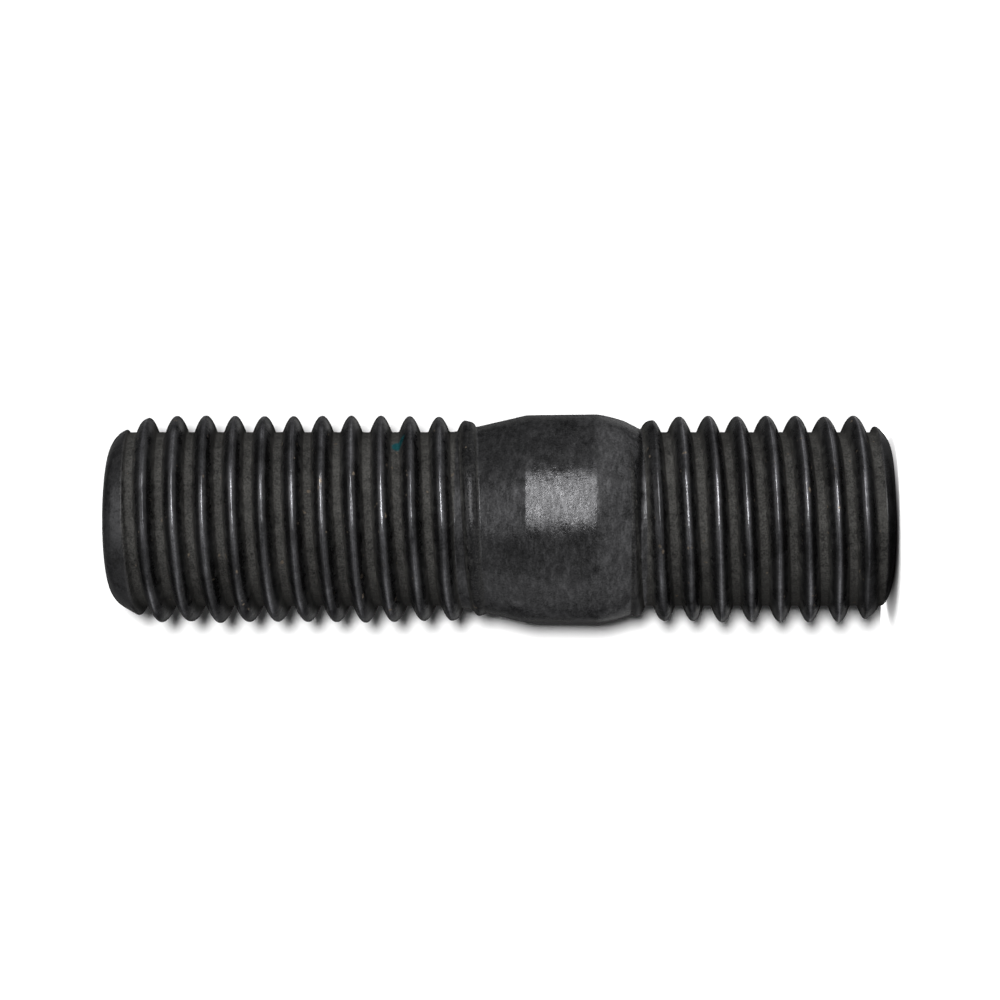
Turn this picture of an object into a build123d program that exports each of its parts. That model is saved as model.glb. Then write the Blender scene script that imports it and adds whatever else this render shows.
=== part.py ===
"""Double ended stud: a rolled right-hand thread on either side of a plain barrel.

The stud stands on its metal end, the shorter threaded end, which is screwed into a body, with
the nut end up. Z is the axis, and the origin is the centre of the metal end's flat face.
"""

import os
from math import acos, ceil, cos, degrees, radians, sin, tan

from build123d import *

# Layout along the axis, in millimetres
OVERALL_LENGTH = 67.0
METAL_LENGTH = 22.0  # shorter threaded end, from its flat face to the shoulder
SHOULDER_LENGTH = 3.25  # rounded climb from the end of that thread to the barrel's land
LAND_LENGTH = 6.0  # cylinder of the barrel
TAPER_LENGTH = 4.0  # straight taper from the barrel down to the nut end's blank

# Diameters
BARREL_D = 18.0
CREST_D = 17.72  # over the thread crests
BLANK_D = 16.0  # turned diameter that the threads are rolled on
ROOT_D = 14.93

# Thread form
PITCH = 2.5
FLANK_ANGLE = 24.0  # of each flank, from the radial direction
CREST_WIDTH = 0.5
METAL_START = 257.0  # degrees about the axis to the start of each thread, seen from its point
NUT_START = 265.0

# Points: a flat face, a blunt cone up to the root and a chamfer over the crests
METAL_FACE_D = 11.0
METAL_POINT_HEIGHT = 0.9
METAL_CHAMFER = 38.0  # degrees from the axis
NUT_FACE_D = 11.4
NUT_POINT_HEIGHT = 1.1
NUT_CHAMFER = 31.0

# Barrel's ends and the run-outs beside them
SHOULDER_RADIUS = 12.8  # of the shoulder's outline, which goes on down to the root
SHOULDER_EDGE = 8.5  # degrees from the axis at which that outline meets the land
ROOT_RUNOUT = 2.5  # length over which the nut end's root climbs to the blank
CREST_RUNOUT = 1.6  # length over which the crests drop
CREST_DROP = 0.45
LAST_CREST = 2.5  # from the last full crest to the end of its thread
FADE = 1.6  # length past a thread's end in which its ridge sinks to the root, into the barrel

# Construction
FOOT = 0.2  # how far the ridges' feet and the run-outs are sunk below the root
CLEAR = 0.5  # how far the envelope stands off the full crests
SEAM = 47.0  # degrees by which the round bodies' seams are turned from the ridges' joints

barrel_r, crest_r, blank_r, root_r = BARREL_D / 2, CREST_D / 2, BLANK_D / 2, ROOT_D / 2
nut_length = OVERALL_LENGTH - METAL_LENGTH - SHOULDER_LENGTH - LAND_LENGTH - TAPER_LENGTH


def turned(*edges):
    """Revolve a closed outline, drawn as radius and height, about the axis."""
    body = revolve(make_face(Plane.XZ * (Curve() + list(edges))), Axis.Z)
    return body.moved(Location((0, 0, 0), (0, 0, SEAM)))


def ridge_turn():
    """One turn of the thread ridge: ruled faces between right-hand helices, closed at both ends."""
    foot_r = root_r - FOOT
    foot_width = CREST_WIDTH + 2 * (crest_r - foot_r) * tan(radians(FLANK_ANGLE))
    corners = [
        (foot_r, -foot_width / 2),
        (crest_r, -CREST_WIDTH / 2),
        (crest_r, CREST_WIDTH / 2),
        (foot_r, foot_width / 2),
    ]
    helices = [
        Helix(pitch=PITCH, height=PITCH, radius=r).moved(Location((0, 0, z))).edge()
        for r, z in corners
    ]
    sides = [
        Face.make_surface_from_curves(helix, helices[(i + 1) % len(helices)])
        for i, helix in enumerate(helices)
    ]
    start = make_face(Plane.XZ * Polyline(*corners, close=True)).face()
    return Solid(Shell(sides + [start, start.moved(Location((0, 0, PITCH)))]))


def envelope(length, face_r, point_height, chamfer):
    """Round body that gives a threaded end its point and lets its ridge fade at the run-out."""
    clear_r = crest_r + CLEAR
    low_r = crest_r - CREST_DROP
    chamfer_top = point_height + (clear_r - root_r) / tan(radians(chamfer))
    drop_end = length - LAST_CREST + CREST_RUNOUT
    drop_start = drop_end - CREST_RUNOUT * (clear_r - low_r) / CREST_DROP
    return turned(
        Polyline(
            (0, 0),
            (face_r, 0),
            (root_r, point_height),
            (clear_r, chamfer_top),
            (clear_r, drop_start),
            (low_r, drop_end),
            (low_r, length),
            (root_r, length + FADE),
            (0, length + FADE),
            close=True,
        )
    )


def threaded_end(length, face_d, point_height, chamfer, start):
    """A threaded end with its point at z = 0 and its end at z = length, fading out beyond it."""
    top = length + FADE
    core = Cylinder(root_r, top + PITCH, align=(Align.CENTER, Align.CENTER, Align.MIN))
    core = core.moved(Location((0, 0, -PITCH / 2), (0, 0, SEAM)))
    turn = ridge_turn()
    ridges = [
        turn.moved(Location((0, 0, k * PITCH), (0, 0, start)))
        for k in range(-1, ceil(top / PITCH) + 1)
    ]
    return core.fuse(*ridges) & envelope(length, face_d / 2, point_height, chamfer)


def shoulder(land):
    """Outline of the rounded shoulder, from the edge of the land down to below the root."""
    centre_r = barrel_r - SHOULDER_RADIUS * cos(radians(SHOULDER_EDGE))
    low_end = degrees(acos((root_r - FOOT - centre_r) / SHOULDER_RADIUS))
    edge = radians(SHOULDER_EDGE)
    return JernArc(
        (barrel_r, land), (-sin(edge), -cos(edge)), SHOULDER_RADIUS, SHOULDER_EDGE - low_end
    )


def barrel():
    """The plain middle: the land, the shoulder, and the taper with the nut end's root run-out."""
    land = METAL_LENGTH + SHOULDER_LENGTH
    taper = land + LAND_LENGTH
    nut_thread = taper + TAPER_LENGTH
    inner_r = root_r - FOOT
    runout_end = nut_thread + ROOT_RUNOUT * (blank_r - inner_r) / (blank_r - root_r)
    climb = shoulder(land)
    foot = climb @ 1
    rest = Polyline(
        (barrel_r, land),
        (barrel_r, taper),
        (blank_r, nut_thread),
        (inner_r, runout_end),
        (0, runout_end),
        (0, foot.Y),
        (inner_r, foot.Y),
    )
    return turned(climb, rest)


metal_end = threaded_end(
    METAL_LENGTH, METAL_FACE_D, METAL_POINT_HEIGHT, METAL_CHAMFER, METAL_START
)
nut_end = threaded_end(nut_length, NUT_FACE_D, NUT_POINT_HEIGHT, NUT_CHAMFER, NUT_START)
nut_end = nut_end.moved(Location((0, 0, OVERALL_LENGTH), (180, 0, 0)))
stud = (barrel() + metal_end + nut_end).solid()

os.makedirs("parts", exist_ok=True)
export_step(stud, "parts/stud.step")
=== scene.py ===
"""Looks of a double ended stud: rolled right-hand threads on either side of a plain barrel.

The stud is one surface, a ribbon of quads wound from the pole of the metal end to the pole of the
nut end. In the threads the ribbon's rows follow the helix, so every crest, flank and root is
caught exactly. The stage is a pale floor, a pale wall behind the stud, five lamps and a camera.
"""

import math

import bpy
import numpy as np
from bpy.props import FloatProperty, FloatVectorProperty, IntProperty, PointerProperty
from bpy.types import Operator, Panel, PropertyGroup
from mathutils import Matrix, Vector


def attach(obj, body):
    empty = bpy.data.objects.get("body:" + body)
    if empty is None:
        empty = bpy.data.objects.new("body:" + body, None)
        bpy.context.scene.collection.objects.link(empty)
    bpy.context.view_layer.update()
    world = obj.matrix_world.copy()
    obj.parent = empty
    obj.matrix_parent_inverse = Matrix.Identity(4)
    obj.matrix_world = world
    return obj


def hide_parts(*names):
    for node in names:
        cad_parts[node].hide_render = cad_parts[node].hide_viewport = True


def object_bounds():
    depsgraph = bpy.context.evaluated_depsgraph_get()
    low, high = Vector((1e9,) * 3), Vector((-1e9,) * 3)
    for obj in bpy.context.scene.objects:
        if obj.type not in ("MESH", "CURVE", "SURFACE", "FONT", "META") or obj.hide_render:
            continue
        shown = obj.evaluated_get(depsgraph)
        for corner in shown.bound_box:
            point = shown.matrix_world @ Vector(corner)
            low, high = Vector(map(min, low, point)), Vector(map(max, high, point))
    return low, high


bl_info = {
    "name": "Double Ended Stud",
    "version": (1, 0, 0),
    "blender": (4, 5, 0),
    "location": "3D View > Sidebar > Stud",
    "description": "Makes a rolled double ended stud with its finish and its stage",
    "category": "Add Mesh",
}

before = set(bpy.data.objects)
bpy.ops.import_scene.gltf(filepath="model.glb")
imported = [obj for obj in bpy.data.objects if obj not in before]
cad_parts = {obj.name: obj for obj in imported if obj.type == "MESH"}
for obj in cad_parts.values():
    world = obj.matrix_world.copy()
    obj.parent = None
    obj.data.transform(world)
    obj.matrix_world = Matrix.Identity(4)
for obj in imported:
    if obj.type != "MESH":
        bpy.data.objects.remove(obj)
CAD_LOW, CAD_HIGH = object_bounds()
NODE = "stud"
MM = 0.001

# Rows of the ribbon. Those of a crest are shares of the ridge's half width at the root, and those
# of a root are shares of the way from there to the middle of the groove.
CREST_ROWS = (0.0, 0.03, 0.07, 0.15, 0.27, 0.42, 0.58, 0.75, 0.88, 0.96)
ROOT_ROWS = (0.12, 0.45, 0.8)
BARREL_ROWS = 96
EDGE_ROWS = 16  # on a point's rounded edge
FLAT_ROWS = 14  # on an end face, from its edge to the pole
JOINT = 1.2 * MM  # depth at which each rounded point hands over to the thread's rows
METAL_OVERRUN = 1.2 * MM  # how far the thread's rows run on past each thread's end
NUT_OVERRUN = 0.8 * MM
AT_POLE = 1e-9  # stations this near a pole are on it

# Larger nicks: height in mm, angle in degrees, radius in mm and depth in mm
NICKS = (
    (64.95, -92.0, 0.22, 0.12),
    (64.55, -94.0, 0.20, 0.10),
    (62.60, -120.0, 0.35, 0.12),
    (61.30, -106.0, 0.25, 0.08),
    (60.20, -128.0, 0.35, 0.10),
    (31.48, -137.0, 0.28, 0.09),
    (29.27, -67.0, 0.20, 0.05),
    (28.20, -58.0, 0.18, 0.05),
    (25.42, -111.0, 0.22, 0.06),
    (21.20, -74.0, 0.30, 0.10),
    (11.20, -74.0, 0.30, 0.12),
    (19.40, -118.0, 0.30, 0.10),
)
# Fleck of paint: height in mm, angle in degrees and radius in mm
FLECK = (42.1, -34.6, 0.65)

# Edges of the finish
PLAIN_LOW = 1 * MM  # how far below the metal end's thread end the barrel's finish may reach
PLAIN_HIGH = 6 * MM  # and how far above the land
RIDGE_EDGE = 0.1 * MM  # climb over which a ridge takes the finish of the thread
SHEEN_CLEAR = 0.3 * MM  # height at which a ridge has its crest's full sheen
SHEEN_WIDTH = 0.14 * MM  # half width of that sheen
POINT_EDGE = 0.08 * MM  # depth over which the finish of a point ends

# Noise of the finish, in grains per metre
GRAIN, MOTTLE, BROAD, TURNING, SCUFF, DIRT = 6500.0, 1300.0, 260.0, 12000.0, 2600.0, 1500.0

# Lamps: name, place, width along the stud and depth across it in metres, and what it lights
LAMPS = (
    ("key_box", (0.19, -0.46, 0.054), 0.04, 0.48, "all but paper"),
    ("low_box", (-0.45, 0.05, 0.08), 0.5, 0.5, "all but paper"),
    ("side_box", (0.05, -0.25, 0.35), 0.4, 0.4, "all but paper"),
    ("floor_lamp", (0.13, 0.11, 0.47), 0.4, 0.4, "floor"),
    ("wall_lamp", (0.064, -0.6, 0.058), 0.08, 0.08, "wall"),
)


def length(name, description, default):
    """A property that holds a length in metres."""
    return FloatProperty(
        name=name, description=description, default=default, unit="LENGTH", min=0.0, precision=5
    )


def angle(name, description, degrees):
    """A property that holds an angle."""
    return FloatProperty(
        name=name, description=description, default=math.radians(degrees), subtype="ANGLE"
    )


def colour(name, description, default):
    """A property that holds a linear colour."""
    return FloatVectorProperty(
        name=name, description=description, default=default, subtype="COLOR", min=0.0, max=1.0
    )


def share(name, description, default):
    """A property that holds a number from nought to one."""
    return FloatProperty(name=name, description=description, default=default, min=0.0, max=1.0)


class StudSizes(PropertyGroup):
    """Sizes of the stud."""

    overall: length("Overall length", "From end face to end face", CAD_HIGH.z - CAD_LOW.z)
    metal_length: length("Metal end", "Shorter threaded end, up to the shoulder", 22.0 * MM)
    shoulder: length("Shoulder", "Climb from the metal end to the barrel", 3.25 * MM)
    land: length("Land", "Full diameter part of the barrel", 6.0 * MM)
    taper: length("Taper", "Straight taper from the land to the nut end", 4.0 * MM)
    barrel_radius: length("Barrel radius", "Radius of the land", (CAD_HIGH.x - CAD_LOW.x) / 2)
    land_fall: length("Land fall", "Drop in radius along the land", 0.07 * MM)
    shoulder_radius: length("Shoulder arc", "Radius of the shoulder's profile", 12.8 * MM)
    shoulder_edge: angle("Shoulder edge", "Slope of the shoulder where it meets the land", 8.5)
    fade_start: share("Fade start", "Turn at which the last groove starts to fade", 0.25)
    fade_edge: length("Fade edge", "From the last crest's middle to the groove's edge", 0.25 * MM)
    groove_wall: FloatProperty(name="Groove wall", description="Rise over run", default=2.0)
    groove_fade: FloatProperty(name="Groove fade", description="Power of its fade", default=2.2)
    blank_radius: length("Blank radius", "Radius on which the threads are rolled", 8.0 * MM)
    pitch: length("Pitch", "Axial step of one turn of thread", 2.5 * MM)
    crest_radius: length("Crest radius", "From the axis to the thread crests", 8.88 * MM)
    root_radius: length("Root radius", "From the axis to the thread roots", 7.465 * MM)
    crest_round: length("Crest rounding", "Radius of the profile at a crest's tip", 0.312 * MM)
    metal_phase: length("Metal end phase", "Height of a crest over the X axis", 18.22 * MM)
    nut_phase: length("Nut end phase", "Height of a crest over the X axis", 61.34 * MM)
    metal_flat: length("Metal end flat", "Radius of the flat on the metal end", 5.52 * MM)
    metal_round: length("Metal end rounding", "Radius of the metal end's edge", 3.0 * MM)
    metal_chamfer: angle("Metal end chamfer", "Slope that cuts the crests at the point", 38.0)
    nut_flat: length("Nut end flat", "Radius of the flat on the nut end", 5.49 * MM)
    nut_round: length("Nut end rounding", "Radius of the nut end's edge", 2.5 * MM)
    nut_chamfer: angle("Nut end chamfer", "Slope that cuts the crests at the point", 30.0)
    crest_drop: length("Crest drop", "How far the crests fall where a thread runs out", 0.45 * MM)
    crest_runout: length("Crest run-out", "Length over which the crests fall", 1.6 * MM)
    last_crest: length("Last crest", "From the last full crest to its thread's end", 2.5 * MM)
    fade: length("Fade", "Past a thread's end, where its ridge sinks into the barrel", 1.6 * MM)
    seam_depth: length("Seam depth", "Depth of the rolling seam along the crests", 0.03 * MM)
    seam_width: length("Seam width", "Half width of that seam", 0.05 * MM)
    waviness: length("Waviness", "Unevenness of the rolled crests", 0.03 * MM)
    barrel_edge: length("Barrel edge", "Rounding of the land's edges", 0.02 * MM)
    root_fillet: length("Root fillet", "Rounding where the root meets the barrel", 0.06 * MM)
    point_edge: length("Point edge", "Rounding where the root meets a point", 0.05 * MM)
    cut_edge: length("Cut edge", "Rounding where the crests meet a point", 0.12 * MM)
    fade_round: length("Fade rounding", "Rounding where a ridge starts to sink", 0.1 * MM)
    ridge_top: length("Ridge top", "Rounding of the tops of lowered ridges", 0.25 * MM)
    ridge_foot: length("Ridge foot", "Rounding at the feet of the ridges", 0.04 * MM)
    nicks: IntProperty(name="Nicks", description="Number of small nicks", default=160, min=0)
    columns: IntProperty(name="Columns", description="Quads in one turn", default=128, min=24)


class StudFinish(PropertyGroup):
    """Colours and gloss of the stud."""

    oxide: colour("Oxide", "Black oxide on the flanks", (0.0115, 0.0115, 0.0119))
    barrel: colour("Barrel", "Oxide rubbed thin on the barrel", (0.0215, 0.0215, 0.0222))
    crest: colour("Crest", "Steel that shows on the crests", (0.048, 0.048, 0.051))
    film: colour("Film", "Dry grey film in the roots", (0.036, 0.0353, 0.0335))
    dirt: colour("Dirt", "Specks of dirt in the roots", (0.07, 0.058, 0.046))
    fleck: colour("Fleck", "Fleck of paint in a root", (0.006, 0.035, 0.040))
    oxide_rough: share("Oxide roughness", "Roughness of the flanks", 0.26)
    barrel_rough: share("Barrel roughness", "Roughness of the barrel", 0.28)
    crest_rough: share("Crest roughness", "Roughness of the crests", 0.19)
    film_rough: share("Film roughness", "Roughness of the film in the roots", 0.75)
    flank_metal: share("Flank metal", "Share of a flank that reflects as metal does", 0.65)
    barrel_metal: share("Barrel metal", "Share of the barrel that reflects as metal does", 0.75)
    # Painted shade: where the stud is seen at a glancing angle, its rims lose most of their metal
    # reflection and turn dark
    painted_rim_shade: share("Painted rim shade", "Share of the shine lost at a glancing angle", 0.9)
    edge_shine: share("Edge shine", "Reflection at a glancing angle", 0.45)
    relief_depth: length("Relief depth", "Depth of the grain and the turning marks", 0.02 * MM)


class StudStage(PropertyGroup):
    """Camera, floor and lamps."""

    lens: FloatProperty(name="Lens", description="Focal length in mm", default=120.0, min=1.0)
    shift: FloatProperty(name="Shift", description="Sideways shift of the lens", default=-0.09)
    camera_distance: length("Camera distance", "From the axis to the camera", 286.8 * MM)
    camera_height: length("Camera height", "Above the floor", 25.84 * MM)
    camera_offset: length("Camera offset", "Sideways from the axis", 1.63 * MM)
    floor_size: length("Floor size", "Side of the floor", 1.2)
    wall_gap: length("Wall gap", "From the stud to the wall behind it", 0.2 * MM)
    paper: colour("Paper", "Floor and wall", (0.9, 0.9, 0.9))
    shadow_full: length("Shadow full", "Distance at which the floor's shadow fades", 5.0 * MM)
    shadow_end: length("Shadow end", "Distance at which the floor's shadow is gone", 13.0 * MM)
    key_box: FloatProperty(name="Key box", description="Power in W", default=4.3)
    low_box: FloatProperty(name="Low box", description="Power in W", default=0.98)
    side_box: FloatProperty(name="Side box", description="Power in W", default=1.4)
    floor_lamp: FloatProperty(name="Floor lamp", description="Power in W", default=6.5)
    wall_lamp: FloatProperty(name="Wall lamp", description="Power in W", default=4.8)
    sky: FloatProperty(name="Sky", description="Strength of the light all round", default=0.05)


def smooth_max(a, b, blend):
    """Larger of a and b, with the corner between them rounded over about blend."""
    return (a + b + np.sqrt((a - b) ** 2 + blend**2)) / 2


def smooth_min(a, b, blend):
    """Smaller of a and b, with the corner between them rounded over about blend."""
    return (a + b - np.sqrt((a - b) ** 2 + blend**2)) / 2


def waves(angles, heights, count, reach, longest, seed):
    """Gentle noise of about unit size, closed round the axis.

    It is the sum of `count` sines of m * angle + 2 pi * height / wavelength + phase, where m is a
    whole number up to `reach`.
    """
    rng = np.random.default_rng(seed)
    total = np.zeros(np.broadcast(angles, heights).shape)
    for _ in range(count):
        turns = rng.integers(-reach, reach + 1)
        wavelength = longest * rng.uniform(0.3, 1.0)
        phase = rng.uniform(0, 2 * math.pi)
        total += np.sin(turns * angles + 2 * math.pi * heights / wavelength + phase)
    return total / math.sqrt(count / 2)


def barrel_heights(s):
    """Heights of the land's two edges and of the taper's end, where the nut end starts."""
    land_start = s.metal_length + s.shoulder
    land_end = land_start + s.land
    return land_start, land_end, land_end + s.taper


def below_middle(z, s):
    """Whether a height or a station is in the stud's lower half, from the metal end to the land."""
    return z < s.metal_length + s.shoulder + s.land / 2


def turned_from(angles, degrees):
    """Angle from a direction given in degrees, between minus and plus half a turn."""
    return (angles - math.radians(degrees) + math.pi) % (2 * math.pi) - math.pi


def point_profile(depth, flat, rounding, chamfer):
    """Radius of a point's turned surface at a depth behind its end face.

    From the edge of the flat it is an arc, flat + sqrt(rounding^2 - (rounding - depth)^2), up to
    the depth at which the arc is as steep as the chamfer, and from there the chamfer's cone.
    """
    tangent = rounding * (1 - math.sin(chamfer))
    inside = rounding - np.clip(depth, 0, tangent)
    cone = np.clip(depth - tangent, 0, None) * math.tan(chamfer)
    return flat + np.sqrt(rounding**2 - inside**2) + cone


def both_points(z, s):
    """Radius of the turned surface of the nearer point, at height z."""
    metal = point_profile(z, s.metal_flat, s.metal_round, s.metal_chamfer)
    nut = point_profile(s.overall - z, s.nut_flat, s.nut_round, s.nut_chamfer)
    return np.minimum(metal, nut)


def shoulder_surface(z, turn, s):
    """Radius of the shoulder at height z: its arc, cut by the last groove as that groove fades.

    The groove's upper wall hangs from a helical edge on the arc. Over one turn the wall's slope
    falls from a flank's to nothing, as a power of the share of the turn that is left.
    """
    arc_z = barrel_heights(s)[0] + s.shoulder_radius * math.sin(s.shoulder_edge)
    arc_r = s.barrel_radius - s.shoulder_radius * math.cos(s.shoulder_edge)
    across = np.clip(arc_z - z, 0, s.shoulder_radius)
    shoulder = arc_r + np.sqrt(s.shoulder_radius**2 - across**2)
    run = (turn - s.fade_start) % 1.0
    last_crest = s.metal_phase + math.ceil((s.metal_length - s.metal_phase) / s.pitch) * s.pitch
    crest = last_crest + (run + s.fade_start - 1.0) * s.pitch
    edge = crest - s.fade_edge
    steepness = (1 - run) ** s.groove_fade * s.groove_wall
    wall = shoulder - np.clip(edge - z, 0, None) * steepness
    return np.where(z < crest - s.pitch, 0, wall)


def body_radius(z, turn, s):
    """Radius of the stud without its ridges, at height z and a share of a turn about the axis.

    From the metal end it is the rounded point, the root, the shoulder, the land, the straight taper
    run on down to the nut end's root, and that end's rounded point.
    """
    land_start, land_end, _ = barrel_heights(s)
    shoulder = shoulder_surface(z, turn, s)
    land = s.barrel_radius - s.land_fall * (z - land_start) / s.land
    land_low = s.barrel_radius - s.land_fall
    taper = land_low - (land_low - s.blank_radius) * (z - land_end) / s.taper
    barrel = smooth_min(smooth_min(shoulder, land, s.barrel_edge), taper, s.barrel_edge)
    body = smooth_max(barrel, s.root_radius, s.root_fillet)
    return smooth_min(body, both_points(z, s), s.point_edge)


def ridge_radius(offset, s):
    """Radius of a rolled ridge at an axial offset from its crest.

    Its profile is a parabola, crest - offset^2 / (2 * crest rounding).
    """
    return s.crest_radius - offset**2 / (2 * s.crest_round)


def crest_fall(z, s):
    """How far the crests have fallen at height z, where each thread runs out at the barrel."""
    land_start, _, nut_start = barrel_heights(s)
    past = np.where(z < land_start, z - s.metal_length, nut_start - z)
    return np.clip(past + s.last_crest, 0, s.crest_runout) * s.crest_drop / s.crest_runout


def crest_limit(z, s):
    """Radius above which no ridge stands.

    At each end of the stud it is the turned point. Towards the barrel it falls over the crest
    run-out, is level up to the thread's end, and then sinks to the root over the fade.
    """
    nut_length = s.overall - barrel_heights(s)[2]
    limit = np.full(np.shape(z), s.crest_radius + s.crest_drop)
    low_crest = s.crest_radius - s.crest_drop
    for depth, thread in ((z, s.metal_length), (s.overall - z, nut_length)):
        past = np.clip(depth - thread + s.last_crest, None, s.crest_runout)
        run_out = s.crest_radius - past * s.crest_drop / s.crest_runout
        sinking = low_crest - (low_crest - s.root_radius) * (depth - thread) / s.fade
        own = smooth_min(run_out, sinking, s.fade_round)
        limit = np.where(depth < thread + s.shoulder, own, limit)
    return smooth_min(limit, both_points(z, s), s.cut_edge)


def marks(angles, heights, s):
    """Depth of the small nicks and pits that handling has left.

    Each is depth * exp(-distance^2 / radius^2), with the distance measured along the surface. The
    larger ones stand where the table sets them and the small ones are strewn at random.
    """
    rng = np.random.default_rng(11)
    # In the table's order: height, angle, radius and depth
    strewn = np.stack(
        [
            rng.uniform(1, s.overall / MM - 1, s.nicks),
            rng.uniform(-180, 180, s.nicks),
            rng.uniform(0.12, 0.3, s.nicks),
            rng.uniform(0.01, 0.05, s.nicks),
        ],
        axis=-1,
    )
    total = np.zeros(heights.shape)
    for height, degrees, radius, depth in np.concatenate([np.array(NICKS), strewn]):
        around = turned_from(angles, degrees) * s.crest_radius
        distance = around**2 + (heights - height * MM) ** 2
        total += depth * MM * np.exp(-distance / (radius * MM) ** 2)
    return total


def thread_rows(first, last, phase, s):
    """Heights of the ribbon's rows at angle nought, through the threads from first to last.

    Each pitch has the same rows, set about its crest: close together over the crest and at the
    corners of the root, and wider apart on the flanks.
    """
    corner = math.sqrt(2 * s.crest_round * (s.crest_radius - s.root_radius))
    ridge = corner * np.array(CREST_ROWS)
    root = corner + (s.pitch / 2 - corner) * np.array(ROOT_ROWS)
    half = np.concatenate([ridge, root])
    one_pitch = np.concatenate([-half[:0:-1], half])
    low, high = math.floor((first - phase) / s.pitch), math.ceil((last - phase) / s.pitch)
    turns = np.arange(low, high + 1)
    rows = (phase + turns[:, None] * s.pitch + one_pitch).ravel()
    return rows[(rows > first) & (rows < last)], len(one_pitch)


def point_depth(run, rounding, joint):
    """Depth behind an end face at a run along the profile, which is measured from the joint.

    The run is the depth itself past the joint. Before it, depth = rounding * (1 - cos(angle)), with
    angle * rounding the length of arc from the flat's edge, and on the flat the depth is nought.
    """
    whole = np.arccos(1 - joint / rounding)
    arc = np.clip(whole + (run - joint) / rounding, 0, whole)
    return np.where(run > joint, run, rounding * (1 - np.cos(arc)))


def flat_edge(rounding, joint):
    """The run at the edge of the flat, where the arc begins."""
    return joint - rounding * math.acos(1 - joint / rounding)


def ribbon_rows(s):
    """Stations of the ribbon's rows at angle nought, and the number of rows in one turn.

    A station is a height in the threads and the barrel. At each point it goes on as a length along
    the rounded edge and the flat, to the pole.
    """
    nut_start = barrel_heights(s)[2]
    metal, per_turn = thread_rows(JOINT, s.metal_length + METAL_OVERRUN, s.metal_phase, s)
    nut, _ = thread_rows(nut_start - NUT_OVERRUN, s.overall - JOINT, s.nut_phase, s)
    metal_edge = flat_edge(s.metal_round, JOINT)
    nut_edge = s.overall - flat_edge(s.nut_round, JOINT)
    low_pole, high_pole = metal_edge - s.metal_flat, nut_edge + s.nut_flat
    rows = [
        np.full(per_turn + 1, low_pole),
        np.linspace(low_pole, metal_edge, FLAT_ROWS)[1:],
        np.linspace(metal_edge, JOINT, EDGE_ROWS)[1:],
        metal,
        np.linspace(metal[-1], nut[0], BARREL_ROWS)[1:-1],
        nut,
        np.linspace(s.overall - JOINT, nut_edge, EDGE_ROWS),
        np.linspace(nut_edge, high_pole, FLAT_ROWS)[1:-1],
        np.full(per_turn + 1, high_pole),
    ]
    return np.concatenate(rows), per_turn


def station_height(station, s):
    """Height of the surface at a station."""
    low_side = below_middle(station, s)
    run = np.where(low_side, station, s.overall - station)
    depth = point_depth(run, np.where(low_side, s.metal_round, s.nut_round), JOINT)
    return np.where(low_side, depth, s.overall - depth)


def rolled_ridge(z, angles, turn, s):
    """Axial offset from the nearest crest, and the radius of the ridge before anything limits it.

    Waves sway and lift the crest a little. Along it runs the seam that rolling leaves, a groove of
    depth * exp(-offset^2 / width^2), deeper where a third wave is high.
    """
    phase = np.where(below_middle(z, s), s.metal_phase, s.nut_phase)
    offset = (z - phase - s.pitch * turn + s.pitch / 2) % s.pitch - s.pitch / 2
    sway = waves(angles, z, count=14, reach=5, longest=9 * MM, seed=3)
    lift = waves(angles, z, count=18, reach=6, longest=14 * MM, seed=5)
    seam = waves(angles, z, count=16, reach=4, longest=30 * MM, seed=8)
    offset = offset + 0.5 * s.waviness * sway
    ridge = ridge_radius(offset, s) - crest_fall(z, s) / 2 + s.waviness * lift
    depth = s.seam_depth * np.clip(0.45 + 0.6 * seam, 0, 1)
    return offset, ridge - depth * np.exp(-((offset / s.seam_width) ** 2))


def ribbon_faces(station, low, high, per_turn):
    """Quads between the ribbon's rows, with the stations at each pole drawn to one vertex."""
    rows, columns = station.shape
    here = np.arange(rows * columns).reshape(rows, columns)
    here[station <= low + AT_POLE] = here[0, 0]
    here[station >= high - AT_POLE] = here[-1, -1]
    after = np.full_like(here, here[-1, -1])
    after[:, :-1] = here[:, 1:]
    after[: rows - per_turn, -1] = here[per_turn:, 0]
    return np.stack([here[:-1], after[:-1], after[1:], here[1:]], axis=-1).reshape(-1, 4)


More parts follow.
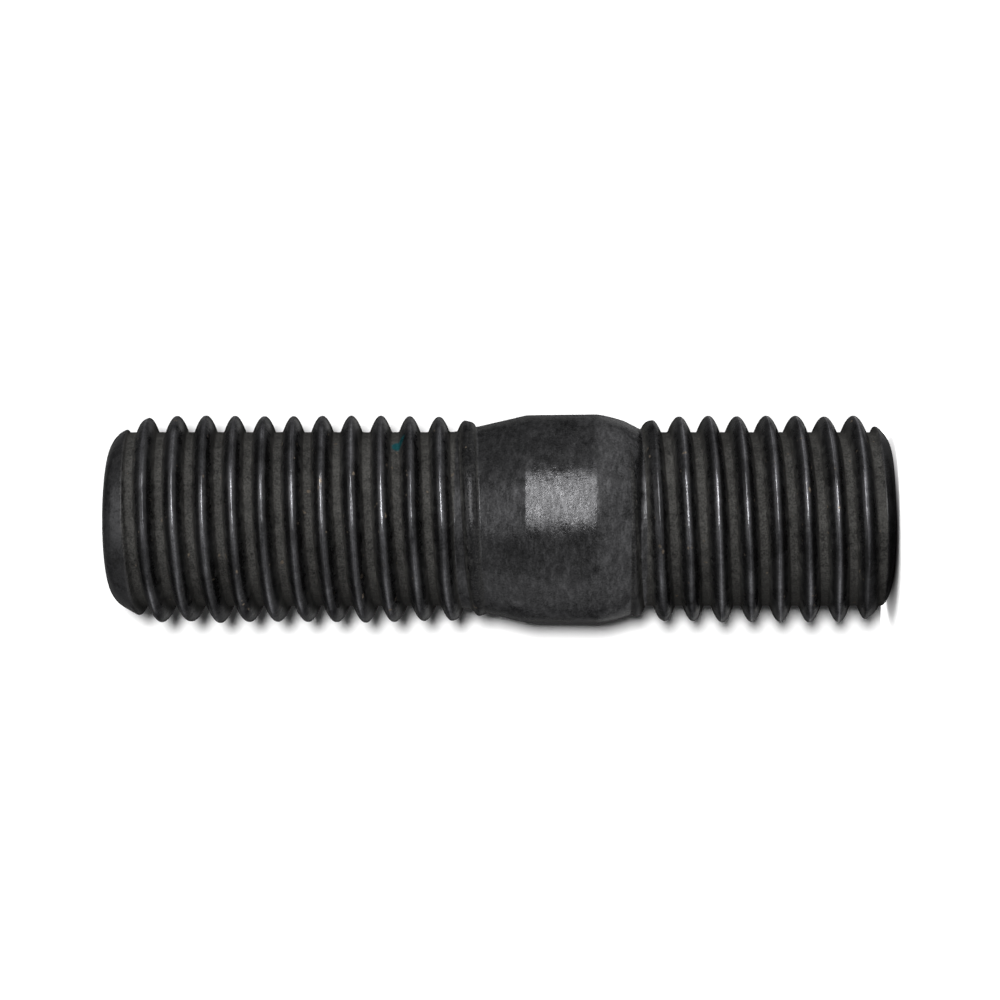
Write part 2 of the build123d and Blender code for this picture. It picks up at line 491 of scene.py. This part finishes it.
def stud_mesh(s):
    """The stud as one wound ribbon: the mesh, and for each vertex the masks of its finish.

    With g the list of rows, the vertex of row i at angle a has the station
    (1 - a / 2 pi) * g[i] + (a / 2 pi) * g[i + n], where n rows make one turn, so row i runs on into
    row i + n. Its radius is the larger of the body and the ridge, the ridge being held under the
    crest limit, and both corners are slightly rounded.
    """
    g, per_turn = ribbon_rows(s)
    low, high = g[0], g[-1]
    turn = np.arange(s.columns) / s.columns
    station = (1 - turn) * g[: len(g) - per_turn, None] + turn * g[per_turn:, None]
    z = station_height(station, s)
    a = np.broadcast_to(2 * math.pi * turn, z.shape)

    offset, ridge = rolled_ridge(z, a, turn, s)
    body = body_radius(z, turn, s)
    limit = crest_limit(z, s)
    capped = smooth_min(ridge, limit, s.ridge_top)
    radius = smooth_max(body, capped, s.ridge_foot) - marks(a, z, s)
    to_pole = np.minimum(station - low, high - station)
    on_flat = to_pole < np.where(below_middle(station, s), s.metal_flat, s.nut_flat)
    radius = np.where(on_flat, to_pole, np.clip(radius, 0, s.barrel_radius))

    uncapped = np.clip(1 - (ridge - limit) / RIDGE_EDGE, 0, 1)
    clear = np.clip((capped - body) / SHEEN_CLEAR, 0, 1)
    threaded = np.clip((capped - body) / RIDGE_EDGE + 1, 0, 1)
    land_end = barrel_heights(s)[1]
    near_barrel = (z > s.metal_length - PLAIN_LOW) & (z < land_end + PLAIN_HIGH)
    around = turned_from(a, FLECK[1]) * radius
    fleck = (around**2 + (z - FLECK[0] * MM) ** 2) / (FLECK[2] * MM) ** 2
    masks = {
        "height": np.clip((radius - s.root_radius) / (s.crest_radius - s.root_radius), 0, 1),
        "plain": np.where(near_barrel, 1 - threaded, 0),
        "crest": np.exp(-((offset / SHEEN_WIDTH) ** 2)) * uncapped * clear,
        "point": np.clip(1.6 - (both_points(z, s) - radius) / POINT_EDGE, 0, 1),
        "fleck": np.exp(-fleck),
    }
    points = np.stack([radius * np.cos(a), radius * np.sin(a), z], axis=-1).reshape(-1, 3)
    faces = ribbon_faces(station, low, high, per_turn)
    return points, faces, {name: mask.ravel() for name, mask in masks.items()}


def mesh_object(name, points, quads, masks):
    """An object at the origin made of the quads, with unused vertices and empty edges left out."""
    faces = []
    for quad in (quads[:, [0, 1, 2]], quads[:, [0, 2, 3]]):
        whole = (quad[:, 0] != quad[:, 1]) & (quad[:, 1] != quad[:, 2]) & (quad[:, 2] != quad[:, 0])
        faces.append(quad[whole])
    triangles = np.concatenate(faces)
    used, triangles = np.unique(triangles, return_inverse=True)
    triangles = triangles.reshape(-1, 3)
    mesh = bpy.data.meshes.new(name)
    mesh.from_pydata(points[used], [], triangles)
    for mask_name, mask in masks.items():
        layer = mesh.attributes.new(mask_name, "FLOAT", "POINT")
        layer.data.foreach_set("value", mask[used].astype(np.float32))
    mesh.shade_smooth()
    mesh.update()
    if mesh.validate():
        raise RuntimeError(f"the mesh of {name} needed repair")
    made = bpy.data.objects.new(name, mesh)
    bpy.context.scene.collection.objects.link(made)
    return made


class Nodes:
    """Adds nodes to one material's tree and joins them."""

    def __init__(self, tree):
        self.tree = tree
        tree.nodes.clear()

    def add(self, kind, settings=None, **inputs):
        """A node of the kind, with its settings and inputs; an input may be another's socket."""
        node = self.tree.nodes.new(kind)
        for key, value in (settings or {}).items():
            setattr(node, key, value)
        for key, value in inputs.items():
            place = int(key[1:]) if key[0] == "i" and key[1:].isdigit() else key.replace("_", " ")
            socket = node.inputs[place]
            if isinstance(value, bpy.types.NodeSocket):
                self.tree.links.new(value, socket)
            else:
                socket.default_value = value
        return node

    def math(self, operation, *values, clamp=False):
        """Result of an operation on values or sockets, kept from nought to one if clamped."""
        inputs = {f"i{k}": value for k, value in enumerate(values)}
        settings = {"operation": operation, "use_clamp": clamp}
        return self.add("ShaderNodeMath", settings, **inputs).outputs[0]

    def line(self, value, slope, start):
        """Start plus slope times value."""
        return self.math("MULTIPLY_ADD", value, slope, start)

    def mask(self, name):
        """One of the mesh's own masks."""
        return self.add("ShaderNodeAttribute", {"attribute_name": name}).outputs["Fac"]

    def noise(self, place, scale, detail=2.0, roughness=0.5):
        """Noise at a scale given in grains per metre."""
        return self.add(
            "ShaderNodeTexNoise", Vector=place, Scale=scale, Detail=detail, Roughness=roughness
        ).outputs["Fac"]

    def seen(self):
        """One for what the camera sees, straight or in a reflection, and nought for other light."""
        rays = self.add("ShaderNodeLightPath").outputs
        either = self.math("MAXIMUM", rays["Is Camera Ray"], rays["Is Glossy Ray"])
        return self.math("MAXIMUM", either, rays["Is Transmission Ray"])

    def step(self, value, low, high):
        """Smooth climb from nought at low to one at high."""
        settings = {"interpolation_type": "SMOOTHSTEP"}
        return self.add("ShaderNodeMapRange", settings, i0=value, i1=low, i2=high).outputs[0]

    def blend(self, factor, first, second):
        """Colour between the first and the second."""
        mix = self.tree.nodes.new("ShaderNodeMix")
        mix.data_type = "RGBA"
        for name, value in (("Factor_Float", factor), ("A_Color", first), ("B_Color", second)):
            socket = next(i for i in mix.inputs if i.identifier == name)
            if isinstance(value, bpy.types.NodeSocket):
                self.tree.links.new(value, socket)
            else:
                socket.default_value = value
        return next(o for o in mix.outputs if o.identifier == "Result_Color")


def rgba(value):
    """A colour with full cover."""
    return (*value, 1.0)


def black_steel(f):
    """Black oxide on rolled steel: glossy flanks, dry film in the roots, worn barrel and crests."""
    material = bpy.data.materials.new("black_steel")
    material.use_nodes = True
    n = Nodes(material.node_tree)
    place = n.add("ShaderNodeTexCoord").outputs["Object"]
    masks = ("height", "plain", "crest", "point", "fleck")
    height, plain, crest, point, fleck = (n.mask(name) for name in masks)

    grain = n.noise(place, GRAIN, detail=2.0, roughness=0.6)
    mottle = n.noise(place, MOTTLE, detail=3.0, roughness=0.6)
    broad = n.noise(place, BROAD, detail=2.0)
    around = n.add("ShaderNodeMapping", Vector=place, Scale=(0.06, 0.06, 1.0)).outputs[0]
    turning = n.noise(around, TURNING, detail=1.0)
    slant = {"Rotation": (0, 0.6, 0), "Scale": (0.35, 0.35, 1.0)}
    slanted = n.add("ShaderNodeMapping", Vector=place, **slant).outputs[0]

    # Where each finish shows
    speckle = n.line(grain, 1.5, n.line(mottle, 0.9, -0.7))
    reach = n.line(speckle, 0.35, n.math("SUBTRACT", 0.55, height))
    open_root = n.math("SUBTRACT", 1.0, n.math("ADD", plain, point, clamp=True))
    in_root = n.math("MULTIPLY", n.step(reach, 0.0, 0.75), open_root)
    film = n.math("MULTIPLY", in_root, n.line(speckle, 0.9, 0.45), clamp=True)
    shiny = n.math("MULTIPLY", crest, n.line(n.step(broad, 0.3, 0.6), 0.6, 0.4), clamp=True)
    rubbed = n.math("ADD", plain, n.math("MULTIPLY", point, 0.85), clamp=True)
    dirt = n.math("MULTIPLY", n.step(n.noise(place, DIRT, detail=1.0), 0.72, 0.78), open_root)

    # Colour
    base = n.blend(rubbed, rgba(f.oxide), rgba(f.barrel))
    base = n.blend(shiny, base, rgba(f.crest))
    base = n.blend(film, base, rgba(f.film))
    base = n.blend(dirt, base, rgba(f.dirt))
    base = n.blend(n.step(fleck, 0.3, 0.6), base, rgba(f.fleck))
    spread = n.line(mottle, 1.1, n.line(broad, 1.0, -0.95))
    uneven = n.math("MAXIMUM", n.line(grain, 1.8, spread), 0.2)
    scuff = n.step(n.noise(slanted, SCUFF, detail=4.0, roughness=0.7), 0.4, 0.7)
    scuffed = n.line(n.math("MULTIPLY", scuff, plain), 0.6, n.line(plain, -0.2, 1.0))
    uneven = n.math("MULTIPLY", uneven, scuffed)
    base = n.add("ShaderNodeVectorMath", {"operation": "SCALE"}, i0=base, Scale=uneven).outputs[0]

    # Gloss
    rough = n.line(rubbed, f.barrel_rough - f.oxide_rough, f.oxide_rough)
    rough = n.line(shiny, f.crest_rough - f.oxide_rough, rough)
    rough = n.line(film, f.film_rough - f.oxide_rough, rough)
    rough = n.line(n.math("SUBTRACT", mottle, 0.5), 0.25, rough)
    rough = n.line(n.math("SUBTRACT", broad, 0.5), 0.4, rough)
    metal = n.line(rubbed, f.barrel_metal - f.flank_metal, f.flank_metal)
    metal = n.math("MAXIMUM", metal, shiny)
    metal = n.math("MULTIPLY", metal, n.math("SUBTRACT", 1.0, film))
    # Painted shade along the rims: where the surface is seen at a glancing angle, most of its metal
    # reflection is taken away
    rim = n.step(n.add("ShaderNodeLayerWeight", Blend=0.5).outputs["Facing"], 0.6, 0.95)
    metal = n.math("MULTIPLY", metal, n.line(rim, -f.painted_rim_shade, 1.0))

    # Relief
    relief = n.line(mottle, 1.8, n.math("MULTIPLY", grain, 0.75))
    relief = n.line(turning, 0.2, relief)
    bump = n.add("ShaderNodeBump", Strength=0.8, Distance=f.relief_depth, Height=relief)
    shader = n.add(
        "ShaderNodeBsdfPrincipled",
        Base_Color=base,
        Metallic=metal,
        Roughness=rough,
        Normal=bump.outputs["Normal"],
        Specular_IOR_Level=0.0,
        Specular_Tint=rgba((f.edge_shine,) * 3),
    )
    n.add("ShaderNodeOutputMaterial", Surface=shader.outputs[0])
    return material


def paper(name, colour_value, fade, one_sided):
    """Pale matt paper that shows shadows; its back can be left clear, so that it hides nothing.

    With a fade, two distances from the axis, the shadows on it fade to white from one to the other.
    A distance counts 1.3 times along X and 0.8 times along Y, from a centre beside the axis.
    """
    material = bpy.data.materials.new(name)
    material.use_nodes = True
    n = Nodes(material.node_tree)
    surface = n.add("ShaderNodeBsdfDiffuse", Color=rgba(colour_value)).outputs[0]
    if fade:
        place = n.add("ShaderNodeTexCoord").outputs["Object"]
        oval = {"Location": (2 * MM, 0, 0), "Scale": (1.3, 0.8, 1.0)}
        placed = n.add("ShaderNodeMapping", Vector=place, **oval).outputs[0]
        away = n.add("ShaderNodeVectorMath", {"operation": "LENGTH"}, i0=placed)
        glow = n.step(away.outputs["Value"], *fade)
        light = n.add("ShaderNodeEmission", Strength=n.math("MULTIPLY", n.seen(), glow)).outputs[0]
        surface = n.add("ShaderNodeAddShader", i0=surface, i1=light).outputs[0]
    if one_sided:
        back = n.add("ShaderNodeNewGeometry").outputs["Backfacing"]
        clear = n.add("ShaderNodeBsdfTransparent").outputs[0]
        surface = n.add("ShaderNodeMixShader", i0=back, i1=surface, i2=clear).outputs[0]
    n.add("ShaderNodeOutputMaterial", Surface=surface)
    return material


def sheet(name, corners, material):
    """A flat four-sided sheet of the stage."""
    mesh = bpy.data.meshes.new(name)
    mesh.from_pydata(corners, [], [(0, 1, 2, 3)])
    mesh.materials.append(material)
    made = bpy.data.objects.new(name, mesh)
    bpy.context.scene.collection.objects.link(made)
    return made


def soft_box(name, place, target, width, depth, power):
    """A rectangular lamp that faces its target, with its width along the stud's axis."""
    lamp = bpy.data.lights.new(name, "AREA")
    lamp.shape = "RECTANGLE"
    lamp.size, lamp.size_y = width, depth
    lamp.energy = power
    made = bpy.data.objects.new(name, lamp)
    back = (np.array(place) - target) / np.linalg.norm(np.array(place) - target)
    along = np.array([0, 0, 1.0]) - back[2] * back
    along /= np.linalg.norm(along)
    up = np.cross(back, along)
    matrix = np.eye(4)
    matrix[:3, 0], matrix[:3, 1], matrix[:3, 2], matrix[:3, 3] = along, up, back, place
    made.matrix_world = matrix.T.tolist()
    bpy.context.scene.collection.objects.link(made)
    return made


def light_only(lamp, state, pieces):
    """Let the lamp light these pieces alone (INCLUDE) or everything but them (EXCLUDE)."""
    chosen = bpy.data.collections.new(f"{lamp.name}_{state.lower()}")
    for place, piece in enumerate(pieces):
        chosen.objects.link(piece)
        chosen.collection_objects[place].light_linking.link_state = state
    lamp.light_linking.receiver_collection = chosen


class STUD_OT_body(Operator):
    """Make the stud's surface and its finish, in place of the plain solid"""

    bl_idname = "stud.body"
    bl_label = "Make the stud"

    def execute(self, context):
        sizes, finish = context.scene.stud_sizes, context.scene.stud_finish
        stud = mesh_object("double_ended_stud", *stud_mesh(sizes))
        stud.data.materials.append(black_steel(finish))
        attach(stud, "root")
        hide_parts(NODE)
        return {"FINISHED"}


class STUD_OT_stage(Operator):
    """Make the floor, the wall, the lamps, the sky and the camera"""

    bl_idname = "stud.stage"
    bl_label = "Make the stage"

    def execute(self, context):
        scene, s = context.scene, context.scene.stud_stage
        half = s.floor_size / 2
        back = CAD_HIGH.y + s.wall_gap
        floor = sheet(
            "floor",
            [(-half, -half, 0), (half, -half, 0), (half, half, 0), (-half, half, 0)],
            paper("floor_paper", s.paper, (s.shadow_full, s.shadow_end), one_sided=False),
        )
        wall = sheet(
            "wall",
            [(-half, back, -half), (half, back, -half), (half, back, half), (-half, back, half)],
            paper("wall_paper", s.paper, None, one_sided=True),
        )
        wall.visible_diffuse = wall.visible_glossy = False
        wall.visible_shadow = wall.visible_transmission = floor.visible_diffuse = False

        target = np.array([0, 0, s.camera_height])
        lit = {
            "all but paper": ("EXCLUDE", (wall, floor)),
            "floor": ("INCLUDE", (floor,)),
            "wall": ("INCLUDE", (wall,)),
        }
        for name, place, width, depth, lights in LAMPS:
            lamp = soft_box(name, place, target, width, depth, getattr(s, name))
            light_only(lamp, *lit[lights])

        world = bpy.data.worlds.new("sky")
        world.use_nodes = True
        scene.world = world
        n = Nodes(world.node_tree)
        strength = n.line(n.seen(), 1.0 - s.sky, s.sky)
        sky = n.add("ShaderNodeBackground", Color=(1, 1, 1, 1), Strength=strength)
        n.add("ShaderNodeOutputWorld", Surface=sky.outputs[0])

        lens = bpy.data.cameras.new("camera")
        lens.lens = s.lens
        lens.shift_x = s.shift
        camera = bpy.data.objects.new("camera", lens)
        matrix = np.eye(4)
        matrix[:3, 0], matrix[:3, 1], matrix[:3, 2] = (0, 0, -1), (1, 0, 0), (0, -1, 0)
        matrix[:3, 3] = (s.camera_offset, -s.camera_distance, s.camera_height)
        camera.matrix_world = matrix.T.tolist()
        scene.collection.objects.link(camera)
        scene.camera = camera
        scene.view_settings.view_transform = "Standard"
        return {"FINISHED"}


class STUD_PT_panel(Panel):
    """Sizes, finish and stage of the stud"""

    bl_idname = "STUD_PT_panel"
    bl_label = "Double Ended Stud"
    bl_space_type = "VIEW_3D"
    bl_region_type = "UI"
    bl_category = "Stud"

    def draw(self, context):
        scene = context.scene
        for group in (scene.stud_sizes, scene.stud_finish, scene.stud_stage):
            box = self.layout.box()
            for name in group.__annotations__:
                box.prop(group, name)
        self.layout.operator(STUD_OT_body.bl_idname)
        self.layout.operator(STUD_OT_stage.bl_idname)


CLASSES = (StudSizes, StudFinish, StudStage, STUD_OT_body, STUD_OT_stage, STUD_PT_panel)
GROUPS = {"stud_sizes": StudSizes, "stud_finish": StudFinish, "stud_stage": StudStage}


def register():
    for cls in CLASSES:
        bpy.utils.register_class(cls)
    for name, group in GROUPS.items():
        setattr(bpy.types.Scene, name, PointerProperty(type=group))


def unregister():
    for name in GROUPS:
        delattr(bpy.types.Scene, name)
    for cls in reversed(CLASSES):
        bpy.utils.unregister_class(cls)


def main():
    """Register the classes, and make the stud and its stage."""
    register()
    bpy.ops.stud.body()
    bpy.ops.stud.stage()


if __name__ == "__main__":
    main()
